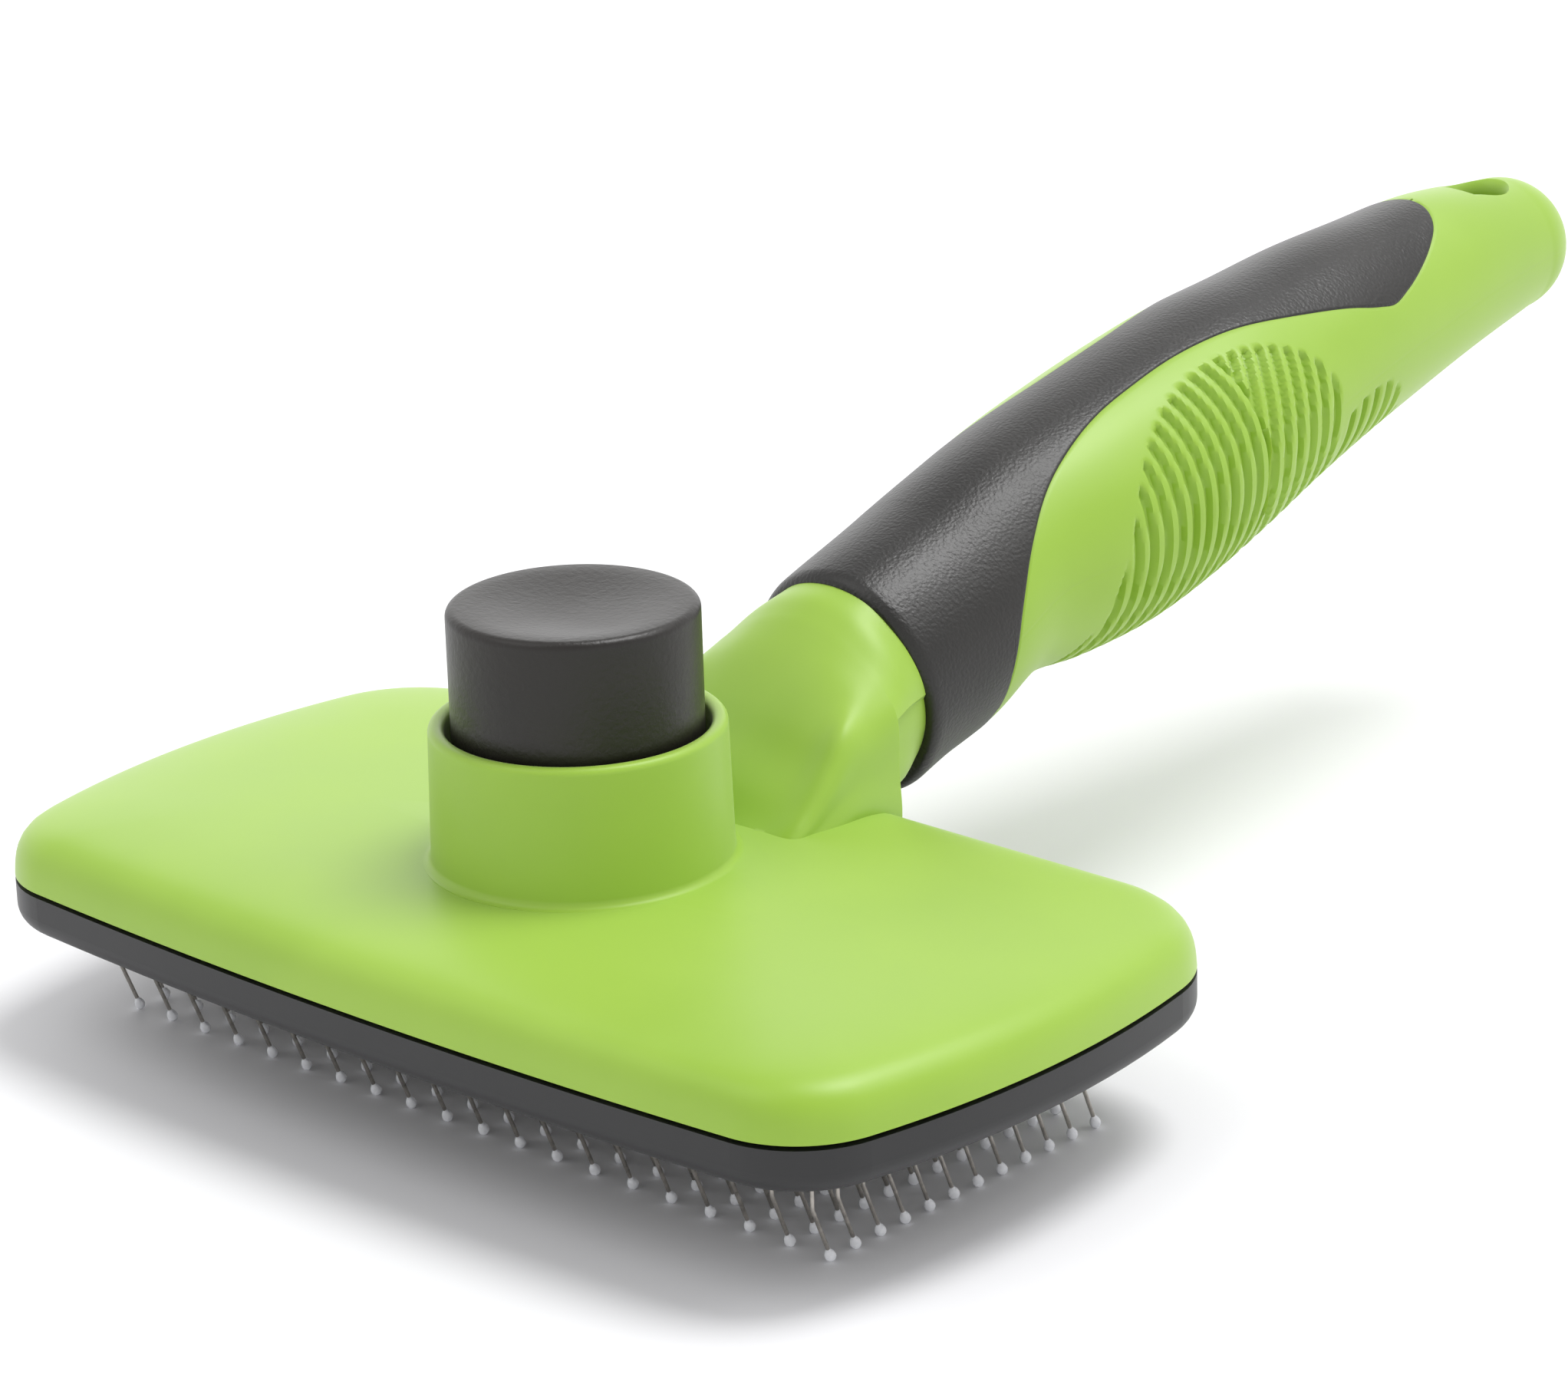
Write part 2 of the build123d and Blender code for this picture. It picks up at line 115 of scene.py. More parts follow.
# Neck: (y, nine points of its half section from the crest round to the underside)
NECK_RING_Y = 5.0
NECK_RING_Z = 13.6
RING_TILT = math.radians(8.5)
NECK_FRONT = [
    (-18.9, [(0, 6.0), (5, 6.0), (9.5, 6.0), (12.4, 5.9), (13.6, 5.7), (14.0, 5.2), (14.0, 4.6),
             (9, 4.5), (0, 4.5)]),
    (-17.4, [(0, 7.5), (5, 7.1), (9.5, 6.9), (12.8, 7.0), (13.9, 6.5), (14.2, 5.8), (14.2, 4.9),
             (9, 4.5), (0, 4.5)]),
    (-15.2, [(0, 9.6), (5, 9.0), (9.4, 8.5), (12.8, 8.5), (13.9, 7.7), (14.2, 6.5), (14.2, 5.0),
             (9, 4.5), (0, 4.5)]),
    (-11.4, [(0, 12.9), (4.8, 12.2), (9.0, 11.5), (12.4, 11.8), (13.7, 10.4), (14.0, 8.2), (14.2, 5.2),
             (9, 4.5), (0, 4.5)]),
    (-8.9, [(0, 15.5), (4.8, 14.9), (8.8, 14.1), (12.0, 14.3), (13.4, 12.4), (13.8, 9.2), (14.0, 5.4),
            (9, 4.5), (0, 4.5)]),
    (-4.9, [(0, 19.3), (4.8, 18.7), (8.6, 17.3), (11.6, 15.8), (13.3, 13.2), (13.6, 9.4), (13.6, 4.2),
            (9, 3.0), (0, 3.0)]),
    (-1.5, [(0, 22.0), (4.8, 21.1), (8.6, 19.1), (11.5, 16.9), (13.3, 14.2), (13.4, 9.0), (13.2, 2.2),
            (8, 0.7), (0, 0.7)])]
NECK_REAR = [
    (-1.5, [(0, 22.0), (4.8, 21.1), (8.6, 19.1), (11.5, 16.9), (13.3, 14.2), (13.2, 10.2), (12.6, 6.4),
            (8, 3.9), (0, 3.6)]),
    (1.6, [(0, 23.5), (4.8, 22.5), (8.6, 20.3), (11.2, 17.5), (12.4, 14.6), (12.4, 10.4), (11.3, 6.2),
           (6.8, 3.6), (0, 3.1)]),
    (5.0, [(0, 24.3), (4.7, 23.4), (8.4, 20.7), (10.6, 17.8), (11.5, 14.7), (11.15, 10.7), (8.85, 6.5),
           (4.9, 3.7), (0, 2.7)])]
NECK_STEPS = 7
NECK_FRONT_SECTIONS = 34
NECK_REAR_SECTIONS = 13
SEAM_POINT = 4
SEAM_STEP = 0.35
EDGE_STEP = 0.9
STEP_FADE = 3.0

# Handle: (y, height of the centre line, radius)
HANDLE = [(-4.0, 9.9, 12.1), (10.3, 14.6, 12.3), (18.2, 16.95, 12.7), (26.0, 19.95, 12.35),
          (35.6, 21.3, 13.6), (44.9, 22.7, 14.3), (54.2, 24.7, 14.25), (63.5, 26.9, 13.7),
          (73.0, 28.9, 12.7), (83.1, 30.9, 11.8), (93.4, 32.45, 10.8), (104.1, 33.95, 9.8),
          (119.0, 34.75, 7.8)]
TAIL_Y = HANDLE[-1][0]
TAIL_R = HANDLE[-1][2]
TAIL_ANGLE = 84
USUAL_R = 12.5
CORE_WALL = 1.9
CAVITY_R = 8.9
CAVITY_END_Y = 104.1
BED_DEPTH = 1.5
BED_PLAY = 0.01
HALVES_GROOVE = 0.02
GROOVE_WIDTH = 0.3

# Edge of the soft grip: (y, angle from the top of the handle, degrees)
GRIP_EDGE = [(17.35, 126), (17.5, 109), (17.9, 96), (19.0, 80), (21.2, 66), (24.8, 52),
             (29.2, 39), (33.9, 30), (39.2, 24), (46.8, 21), (53.0, 21), (60.3, 25), (69.2, 35.5),
             (78.3, 49), (83.2, 58), (85.6, 61), (88.8, 58), (92.7, 51), (96.2, 42), (99.4, 30),
             (101.2, 16), (101.9, 0.6)]
RING_REAR_Y = GRIP_EDGE[0][0]
GRIP_END_Y = GRIP_EDGE[-1][0]
LEAST_ANGLE = 0.6
GRIP_PROUD = 0.06
GRIP_EDGE_R = 0.28
GRIP_EDGE_DROP = 0.16
RING_EDGE_DROP = 0.12
GRIP_LIP_R = 1.5
GRIP_LIP_DROP = 0.85
CORE_EDGE_DROP = 0.10
NEAR_EDGE = np.array([0.0, 0.06, 0.14, 0.26, 0.42])

# Rows and points of the handle's meshes
RIBBED_FROM, RIBBED_TO = 30.0, 90.0
RIBBED_STEP = 0.27
PLAIN_STEP = 0.7
RING_STEP = 0.6
TAIL_STEP_ANGLE = 3
EDGE_SAMPLE = 0.3
LEAST_ROW_STEP = 0.02
UPPER_BED_POINTS, UPPER_STRIP_POINTS = 9, 46
LOWER_STRIP_POINTS, LOWER_BED_POINTS = 70, 6
INNER_STRIDE = 4
TONGUE_POINTS = 34
RING_POINTS = 18
TAIL_BORDER_ANGLE = 18.0
TAIL_BORDER_LENGTH = 12.0

# Ribs: front group of arcs, rear group of lines, and the rear patch. Angles are from the
# top of the handle, and a bow is how far a rib bends over its angle.
RIB_DEPTH = 0.75
RIB_FADE = 0.45
FRONT_CREST_Y = 57.4
FRONT_PITCH = 2.2
FRONT_BOW = 1.6
FRONT_BOW_ANGLE = 55.0
BELOW_BOW_SHARE = 0.55
REAR_CREST_Y = 57.9
REAR_PITCH = 2.5
REAR_BOW = 3.1
REAR_FAN = 0.25
REAR_BOW_FROM, REAR_BOW_ANGLE, REAR_BOW_LIMIT = 95, 50.0, 150
PATCH_CREST_Y = 74.0
PATCH_PITCH = 2.45
PATCH_Y = 79.0
PATCH_HALF = 9.0
PATCH_HALF_ANGLE = 85.0
PATCH_SPAN = 3.2
PATCH_LEAD = 0.1
ZONE_Y = 54.3
ZONE_ANGLE = 100.0
ZONE_HALF_Y = 19.3
ZONE_HALF_ANGLE = 68.0
ZONE_SPAN = 6.0
ZONE_END_Y = 73.3
ZONE_START_Y, ZONE_START_ANGLE, ZONE_SLANT = 35.6, 78, 0.075
BELOW_ANGLE = 84

# Hanging hole
HOLE_Y = 114.8
HOLE_R = 3.0
HOLE_LIP_R = 2.2
HOLE_LIP_RISE = 0.35

# Light: suns as (name, direction, energy, spread in degrees), and bright panels of the
# room as (direction, strength, cosines at the panel's edge and core)
SUNS = [("key", (0.13, 0.33, 0.93), 1.75, 26), ("fill", (-0.30, -0.45, 0.84), 0.42, 40)]
PANELS = [((-0.64, 0.69, 0.33), 0.65, 0.80, 0.97), ((0.46, 0.47, 0.74), 2.6, 0.945, 0.99)]
ROOM_LOW, ROOM_HIGH = 1.05, 0.55
FLOOR_HALF = 6.0

# Camera
CAMERA_PLACE = (0.3609, -0.4218, 0.2200)
CAMERA_AZIMUTH = math.radians(43.04)
CAMERA_ELEVATION = math.radians(19.58)
CAMERA_ROLL = math.radians(-1.80)
CAMERA_LENS = 127.46
SENSOR_WIDTH = 36.0


# ---------------------------------------------------------------- curves and meshes

def smooth_values(stations, at):
    """Values at some places along smooth curves through (place, values) stations."""
    places = np.array([s[0] for s in stations], float)
    values = np.array([s[1] for s in stations], float)
    slopes = np.gradient(values, places, axis=0)
    at = np.clip(np.asarray(at, float), places[0], places[-1])
    i = np.clip(np.searchsorted(places, at) - 1, 0, len(places) - 2)
    span = (places[i + 1] - places[i]).reshape(-1, *[1] * (values.ndim - 1))
    t = ((at - places[i]).reshape(span.shape)) / span
    t2, t3 = t * t, t * t * t
    return ((2 * t3 - 3 * t2 + 1) * values[i] + (t3 - 2 * t2 + t) * span * slopes[i]
            + (3 * t2 - 2 * t3) * values[i + 1] + (t3 - t2) * span * slopes[i + 1])


def smooth_step(x):
    """0 below 0, 1 above 1, and a soft rise between."""
    x = np.clip(x, 0.0, 1.0)
    return x * x * (3 - 2 * x)


def to_row(points):
    """Millimetres in the working frame to metres in the frame."""
    points = np.asarray(points, float).reshape(-1, 3) + (0.0, SHIFT_Y, SHIFT_Z)
    return points * MM


def new_piece(name, points, faces, sharp_angle=SHARP_ANGLE):
    """A mesh object from points in millimetres, cleaned, with smooth shading."""
    mesh = bpy.data.meshes.new(name)
    mesh.from_pydata(to_row(points).tolist(), [], [list(map(int, f)) for f in faces])
    bm = bmesh.new()
    bm.from_mesh(mesh)
    bmesh.ops.remove_doubles(bm, verts=bm.verts, dist=WELD_MM * MM)
    bmesh.ops.dissolve_degenerate(bm, edges=bm.edges, dist=SLIVER_MM * MM)
    bmesh.ops.recalc_face_normals(bm, faces=bm.faces)
    bm.to_mesh(mesh)
    bm.free()
    piece = bpy.data.objects.new(name, mesh)
    bpy.context.scene.collection.objects.link(piece)
    shade(piece, sharp_angle)
    return piece


def shade(piece, sharp_angle):
    """Smooth shading, with edges sharper than an angle kept sharp."""
    piece.data.shade_smooth()
    piece.data.set_sharp_from_angle(angle=math.radians(sharp_angle))


def strips(rows, closed=False):
    """Quads between each row of point numbers and the next."""
    faces = []
    for a, b in zip(rows[:-1], rows[1:]):
        count = len(a)
        for i in range(count if closed else count - 1):
            j = (i + 1) % count
            faces.append((a[i], a[j], b[j], b[i]))
    return faces


def loft(name, loops, sharp_angle=SHARP_ANGLE):
    """A closed solid through closed loops of points, with flat ends."""
    count = len(loops[0])
    rows = [list(range(k * count, (k + 1) * count)) for k in range(len(loops))]
    faces = strips(rows, closed=True) + [rows[0][::-1], rows[-1]]
    return new_piece(name, np.concatenate(loops), faces, sharp_angle)


def turned(name, profile, y=BUTTON_Y, steps=144, sharp_angle=SHARP_ANGLE):
    """A solid turned about an upright axis, from a profile of (radius, height).

    The profile is closed, or it starts and ends on the axis.
    """
    angles = np.linspace(0, 2 * math.pi, steps, endpoint=False)
    loops = [np.array([(r * math.cos(a), y + r * math.sin(a), z) for r, z in profile])
             for a in angles]
    count = len(profile)
    rows = [list(range(k * count, (k + 1) * count)) for k in range(steps)]
    rows.append(rows[0])
    ring = profile[0][0] > 0
    return new_piece(name, np.concatenate(loops), strips(rows, closed=ring), sharp_angle)


def quarter(centre, radius, start, end, steps=8):
    """Points of an arc in a profile, angles in degrees from the outward direction."""
    angles = np.radians(np.linspace(start, end, steps + 1))
    return [(centre[0] + radius * math.cos(a), centre[1] + radius * math.sin(a)) for a in angles]


def combine(piece, tool, operation):
    """Join a tool to a piece, or cut it away, and drop the tool."""
    modifier = piece.modifiers.new("combine", "BOOLEAN")
    modifier.object = tool
    modifier.operation = operation
    modifier.solver = "MANIFOLD"
    bpy.context.view_layer.update()
    evaluated = piece.evaluated_get(bpy.context.evaluated_depsgraph_get())
    mesh = bpy.data.meshes.new_from_object(evaluated)
    piece.modifiers.clear()
    old = piece.data
    piece.data = mesh
    bpy.data.meshes.remove(old)
    bpy.data.objects.remove(tool)
    return piece


# ---------------------------------------------------------------- materials

def shader(name, roughness, **settings):
    """A new material with an object-space coordinate; returns its tree and shader."""
    material = bpy.data.materials.new(name)
    material.use_nodes = True
    tree = material.node_tree
    bsdf = tree.nodes["Principled BSDF"]
    bsdf.inputs["Roughness"].default_value = roughness
    for socket, value in settings.items():
        bsdf.inputs[socket.replace("_", " ")].default_value = value
    place = tree.nodes.new("ShaderNodeTexCoord")
    return material, tree, bsdf, place.outputs["Object"]


def noise(tree, place, per_mm, detail=2.0, rough=0.5, distortion=0.0):
    """Noise with a number of features per millimetre."""
    node = tree.nodes.new("ShaderNodeTexNoise")
    node.inputs["Scale"].default_value = per_mm / MM
    node.inputs["Detail"].default_value = detail
    node.inputs["Roughness"].default_value = rough
    node.inputs["Distortion"].default_value = distortion
    tree.links.new(place, node.inputs["Vector"])
    return node.outputs["Fac"]


def colour_mix(tree, factor, low, high, start=0.35, end=0.65):
    """A colour between two, by a factor."""
    ramp = tree.nodes.new("ShaderNodeValToRGB")
    ramp.color_ramp.elements[0].position = start
    ramp.color_ramp.elements[0].color = (*low, 1)
    ramp.color_ramp.elements[1].position = end
    ramp.color_ramp.elements[1].color = (*high, 1)
    tree.links.new(factor, ramp.inputs["Fac"])
    return ramp.outputs["Color"]


def value_range(tree, factor, low, high, start=0.3, end=0.7):
    """A number between two, by a factor."""
    node = tree.nodes.new("ShaderNodeMapRange")
    node.inputs["From Min"].default_value = start
    node.inputs["From Max"].default_value = end
    node.inputs["To Min"].default_value = low
    node.inputs["To Max"].default_value = high
    tree.links.new(factor, node.inputs["Value"])
    return node.outputs["Result"]


def add_bump(tree, bsdf, heights):
    """Bumps in the surface, from (height, depth in millimetres) pairs."""
    normal = None
    for height, depth in heights:
        node = tree.nodes.new("ShaderNodeBump")
        node.inputs["Distance"].default_value = depth * MM
        tree.links.new(height, node.inputs["Height"])
        if normal is not None:
            tree.links.new(normal, node.inputs["Normal"])
        normal = node.outputs["Normal"]
    tree.links.new(normal, bsdf.inputs["Normal"])


def green_plastic():
    """Satin moulded plastic with a fine spark-eroded grain and faint flow clouds."""
    material, tree, bsdf, place = shader("green_plastic_satin", 0.42, Subsurface_Weight=0.12,
                                         Sheen_Weight=0.14)
    bsdf.inputs["Subsurface Radius"].default_value = (0.9, 1.0, 0.15)
    bsdf.inputs["Subsurface Scale"].default_value = 0.8 * MM
    bsdf.inputs["Sheen Roughness"].default_value = 0.5
    clouds = noise(tree, place, 0.035, 3.0)
    grain = noise(tree, place, 3.2, 2.0)
    colour = colour_mix(tree, clouds, (0.272, 0.455, 0.034), (0.300, 0.488, 0.044))
    tree.links.new(colour, bsdf.inputs["Base Color"])
    tree.links.new(value_range(tree, clouds, 0.38, 0.46), bsdf.inputs["Roughness"])
    add_bump(tree, bsdf, [(clouds, 0.02), (grain, 0.004)])
    return material


def black_rubber():
    """Soft over-moulded rubber: a pebbled grain that breaks up its highlights."""
    material, tree, bsdf, place = shader("black_rubber_grain", 0.42, Specular_IOR_Level=0.5)
    clouds = noise(tree, place, 0.06, 3.0)
    pebbles = noise(tree, place, 2.6, 1.5, 0.4)
    colour = colour_mix(tree, clouds, (0.0115, 0.0105, 0.0095), (0.0165, 0.0150, 0.0135))
    tree.links.new(colour, bsdf.inputs["Base Color"])
    tree.links.new(value_range(tree, clouds, 0.36, 0.42), bsdf.inputs["Roughness"])
    add_bump(tree, bsdf, [(pebbles, 0.065)])
    return material


def button_plastic():
    """Hard black plastic with a leathery etched grain."""
    material, tree, bsdf, place = shader("button_plastic_grain", 0.4, Specular_IOR_Level=0.4)
    grain = noise(tree, place, 1.5, 2.5, 0.5, 0.4)
    clouds = noise(tree, place, 0.08, 2.0)
    colour = colour_mix(tree, clouds, (0.0135, 0.0115, 0.0100), (0.0185, 0.0160, 0.014))
    tree.links.new(colour, bsdf.inputs["Base Color"])
    tree.links.new(value_range(tree, clouds, 0.34, 0.42), bsdf.inputs["Roughness"])
    add_bump(tree, bsdf, [(grain, 0.05)])
    return material


def plain_plastic(name, low, high, roughness):
    """Moulded plastic with a fine even grain."""
    material, tree, bsdf, place = shader(name, roughness)
    clouds = noise(tree, place, 0.07, 3.0)
    grain = noise(tree, place, 3.5, 2.0)
    tree.links.new(colour_mix(tree, clouds, low, high), bsdf.inputs["Base Color"])
    gloss = value_range(tree, clouds, roughness - 0.04, roughness + 0.04)
    tree.links.new(gloss, bsdf.inputs["Roughness"])
    add_bump(tree, bsdf, [(grain, 0.005)])
    return material


def metal(name, low, high, roughness):
    """Drawn or plated steel, a little uneven in colour and gloss."""
    material, tree, bsdf, place = shader(name, roughness, Metallic=1.0)
    streaks = noise(tree, place, 1.2, 3.0)
    tree.links.new(colour_mix(tree, streaks, low, high), bsdf.inputs["Base Color"])
    gloss = value_range(tree, streaks, roughness - 0.07, roughness + 0.08)
    tree.links.new(gloss, bsdf.inputs["Roughness"])
    add_bump(tree, bsdf, [(streaks, 0.003)])
    return material


def white_tip():
    """Glossy dipped bead on the end of a pin."""
    material, tree, bsdf, place = shader("white_bead", 0.25, Subsurface_Weight=0.2)
    bsdf.inputs["Subsurface Radius"].default_value = (1.0, 1.0, 1.0)
    bsdf.inputs["Subsurface Scale"].default_value = 0.3 * MM
    spots = noise(tree, place, 0.9, 2.0)
    colour = colour_mix(tree, spots, (0.78, 0.79, 0.82), (0.86, 0.87, 0.9))
    tree.links.new(colour, bsdf.inputs["Base Color"])
    tree.links.new(value_range(tree, spots, 0.2, 0.32), bsdf.inputs["Roughness"])
    add_bump(tree, bsdf, [(spots, 0.01)])
    return material


def paint(piece, material):
    """Give a piece one material."""
    piece.data.materials.clear()
    piece.data.materials.append(material)


# ---------------------------------------------------------------- head shell

def fillet_in_arcs(centre_a, radius_a, centre_b, radius_b, r, toward):
    """Centre of a circle of radius r inside two circles, on the side nearest a point."""
    ra, rb = radius_a - r, radius_b - r
    d = (centre_b - centre_a).length
    along = (ra * ra - rb * rb + d * d) / (2 * d)
    height = math.sqrt(max(ra * ra - along * along, 0.0))
    axis = (centre_b - centre_a) / d
    side = Vector((-axis.y, axis.x))
    foot = centre_a + axis * along
    return min((foot + side * height, foot - side * height), key=lambda p: (p - toward).length)


def arc_between(centre, radius, start, end, steps):
    """Points of the shorter arc of a circle between two points, without the last."""
    a = math.atan2(start.y - centre.y, start.x - centre.x)
    b = math.atan2(end.y - centre.y, end.x - centre.x)
    turn = (b - a + math.pi) % (2 * math.pi) - math.pi
    angles = [a + turn * i / steps for i in range(steps)]
    return [(centre.x + radius * math.cos(t), centre.y + radius * math.sin(t)) for t in angles]


def bulge_circle(half_chord, bulge):
    """Radius of the arc with that half chord and that rise."""
    return (half_chord * half_chord + bulge * bulge) / (2 * bulge)


def head_outline(inset):
    """Plan outline of the head, moved inwards: points all round, anticlockwise."""
    x = HEAD_HALF_WIDTH - inset
    front = FRONT_EDGE_Y + inset
    back = BACK_EDGE_Y - inset
    middle = (front + back) / 2
    front_radius = bulge_circle(x, FRONT_BULGE)
    front_centre = Vector((0, front - FRONT_BULGE + front_radius))
    side_radius = bulge_circle((back - front) / 2, SIDE_BULGE)
    side_centre = Vector((x + SIDE_BULGE - side_radius, middle))
    r_front = FRONT_CORNER_R - CORNER_SHRINK * inset
    r_back = BACK_CORNER_R - CORNER_SHRINK * inset
    corner = fillet_in_arcs(front_centre, front_radius, side_centre, side_radius, r_front,
                            Vector((x, front)))
    front_touch = front_centre + (corner - front_centre).normalized() * front_radius
    side_touch = side_centre + (corner - side_centre).normalized() * side_radius
    rear = Vector((0.0, back - r_back))
    rear.x = side_centre.x + math.sqrt((side_radius - r_back) ** 2 - (rear.y - side_centre.y) ** 2)
    side_end = side_centre + (rear - side_centre).normalized() * side_radius
    back_touch = Vector((rear.x, back))
    foremost = Vector((0, front - FRONT_BULGE))
    right = arc_between(front_centre, front_radius, foremost, front_touch, FRONT_STEPS)
    right += arc_between(corner, r_front, front_touch, side_touch, CORNER_STEPS)
    right += arc_between(side_centre, side_radius, side_touch, side_end, SIDE_STEPS)
    right += arc_between(rear, r_back, side_end, back_touch, CORNER_STEPS)
    right += [(back_touch.x * (1 - i / BACK_STEPS), back) for i in range(BACK_STEPS + 1)]
    left = [(-px, py) for px, py in right[-2:0:-1]]
    return np.array(right + left)


def head_slab(name, inset, bottom, top):
    """A slab of the head's outline."""
    outline = head_outline(inset)
    loops = [np.column_stack([outline, np.full(len(outline), z)]) for z in (bottom, top)]
    return loft(name, loops)


def head_cover():
    """The crowned cover of the head, before it is hollowed."""
    path = np.array(SHELL_SKIN)
    lengths = np.concatenate([[0], np.cumsum(np.hypot(*np.diff(path, axis=0).T))])
    stations = list(zip(lengths, path))
    rings = smooth_values(stations, lengths[-1] * np.linspace(0, 1, SKIN_RINGS) ** SKIN_CROWDING)
    loops = []
    for inset, height in rings:
        outline = head_outline(max(inset, 0.0))
        loops.append(np.column_stack([outline, np.full(len(outline), height)]))
    return loft("head_cover", loops)


def closed_spline(points, steps):
    """A smooth closed line through points, with a number of steps after each."""
    points = np.asarray(points, float)
    before, after, later = np.roll(points, 1, 0), np.roll(points, -1, 0), np.roll(points, -2, 0)
    out = []
    for i in range(len(points)):
        for t in np.arange(steps) / steps:
            a = (after[i] - before[i]) / 2
            b = (later[i] - points[i]) / 2
            t2, t3 = t * t, t * t * t
            out.append((2 * t3 - 3 * t2 + 1) * points[i] + (t3 - 2 * t2 + t) * a
                       + (3 * t2 - 2 * t3) * after[i] + (t3 - t2) * b)
    return np.array(out)


def neck_loop(y, half, tilted, step):
    """One section of the neck; below its seam it steps in, and it may lean to the ring."""
    mirrored = [(-x, z) for x, z in half[-2:0:-1]]
    line = closed_spline(list(half) + mirrored, NECK_STEPS)
    count = len(line)
    seam = SEAM_POINT * NECK_STEPS
    x, z = line[:, 0].copy(), line[:, 1].copy()
    below = np.zeros(count, bool)
    below[seam + 1:count - seam] = True
    x[below] -= np.sign(x[below]) * step * np.clip(np.abs(x[below]) / STEP_FADE, 0, 1)
    lean = tilted * math.tan(RING_TILT)
    return np.column_stack([x, y - (z - NECK_RING_Z) * lean, z])


def neck():
    """The neck: a bulb that turns back into the handle, between two soft ridges."""
    loops = []
    front_ys = np.linspace(NECK_FRONT[0][0], NECK_FRONT[-1][0], NECK_FRONT_SECTIONS)
    for y, half in zip(front_ys, smooth_values(NECK_FRONT, front_ys)):
        loops.append(neck_loop(y, half, 0.0, 0.0))
    rear_ys = np.linspace(NECK_REAR[0][0], NECK_REAR[-1][0], NECK_REAR_SECTIONS)
    for y, half in zip(rear_ys, smooth_values(NECK_REAR, rear_ys)):
        share = (y - BACK_EDGE_Y) / (NECK_RING_Y - BACK_EDGE_Y)
        loops.append(neck_loop(y, half, share, EDGE_STEP + (SEAM_STEP - EDGE_STEP) * share))
    return loft("neck", loops, 30.0)


def collar():
    """The round collar that the button slides in, with a rounded lip and a small root."""
    lip, root = COLLAR_LIP_R, COLLAR_ROOT_R
    profile = [(COLLAR_BORE_R, COLLAR_FLOOR - COLLAR_SUNK)]
    profile += quarter((COLLAR_BORE_R + lip, COLLAR_TOP - lip), lip, 180, 90)
    profile += quarter((COLLAR_TOP_R - lip, COLLAR_TOP - lip), lip, 90, 0)
    skin_z = SHELL_SKIN[-1][1]
    profile += quarter((COLLAR_BASE_R + root, skin_z + root), root, 180, 270, 6)
    profile.append((COLLAR_BASE_R + root, COLLAR_FLOOR - COLLAR_SUNK))
    return turned("collar", profile)


def stem_guide():
    """The short tube in the collar's floor that guides the stem."""
    profile = [(GUIDE_BORE_R, GUIDE_BOTTOM), (GUIDE_R, GUIDE_BOTTOM),
               (GUIDE_R, GUIDE_TOP - GUIDE_CHAMFER), (GUIDE_R - GUIDE_CHAMFER, GUIDE_TOP),
               (GUIDE_BORE_R, GUIDE_TOP)]
    return turned("guide", profile, steps=64)


def upright_hole(name, radius, bottom, top, steps):
    """A round cutter on the button's axis."""
    profile = [(0.0, bottom), (radius, bottom), (radius, top), (0.0, top)]
    return turned(name, profile, steps=steps)


def head_shell():
    """Green moulding: head cover, neck, collar and the guide for the stem."""
    shell = head_cover()
    combine(shell, neck(), "UNION")
    bore = upright_hole("bore", COLLAR_BASE_R - 0.1, COLLAR_FLOOR, 40, 144)
    combine(shell, bore, "DIFFERENCE")
    combine(shell, collar(), "UNION")
    for inset, top in CAVITIES:
        combine(shell, head_slab("cavity", inset, -1.0, top), "DIFFERENCE")
    combine(shell, stem_guide(), "UNION")
    stem_hole = upright_hole("hole", GUIDE_BORE_R, 0.0, STEM_HOLE_TOP, 64)
    combine(shell, stem_hole, "DIFFERENCE")
    shell.name = "shell_moulding"
    shade(shell, 32.0)
    return shell


def push_button():
    """Black cup with a dished top and a rolled rim."""
    rim = BUTTON_RIM_R
    flat = BUTTON_R - rim - BUTTON_DISH_BORDER
    profile = [(0.0, BUTTON_TOP - BUTTON_DISH)]
    for share in np.linspace(0.1, 1.0, 14):
        drop = BUTTON_DISH * (1 - share * share) ** 1.4
        profile.append((flat * share, BUTTON_TOP - drop))
    profile += quarter((BUTTON_R - rim, BUTTON_TOP - rim), rim, 90, 0, 10)
    skirt_r = BUTTON_SKIRT_R
    profile += quarter((BUTTON_R - skirt_r, BUTTON_SKIRT_BOTTOM + skirt_r), skirt_r, 0, -90, 4)
    inner = BUTTON_R - BUTTON_WALL
    profile += [(inner, BUTTON_SKIRT_BOTTOM), (inner, BUTTON_CEILING), (GUIDE_R, BUTTON_CEILING),
                (GUIDE_R, SOCKET_BOTTOM), (GUIDE_BORE_R, SOCKET_BOTTOM), (GUIDE_BORE_R, BUTTON_CEILING),
                (0.0, BUTTON_CEILING)]
    return turned("button_cap", profile, sharp_angle=40.0)


def coil_spring():
    """The steel coil between the collar's floor and the button's ceiling."""
    low, high = (corner.z / MM - SHIFT_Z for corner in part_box("return_spring"))
    angles = np.linspace(0, 2 * math.pi * SPRING_TURNS, int(48 * SPRING_TURNS) + 1)
    heights = np.linspace(low + SPRING_WIRE_R, high - SPRING_WIRE_R, len(angles))
    around = np.linspace(0, 2 * math.pi, 12, endpoint=False)
    reach = SPRING_R + SPRING_WIRE_R * np.cos(around)
    rise = SPRING_WIRE_R * np.sin(around)
    loops = [np.column_stack([reach * math.cos(a), BUTTON_Y + reach * math.sin(a), z + rise])
             for a, z in zip(angles, heights)]
    return loft("coil_spring", loops)


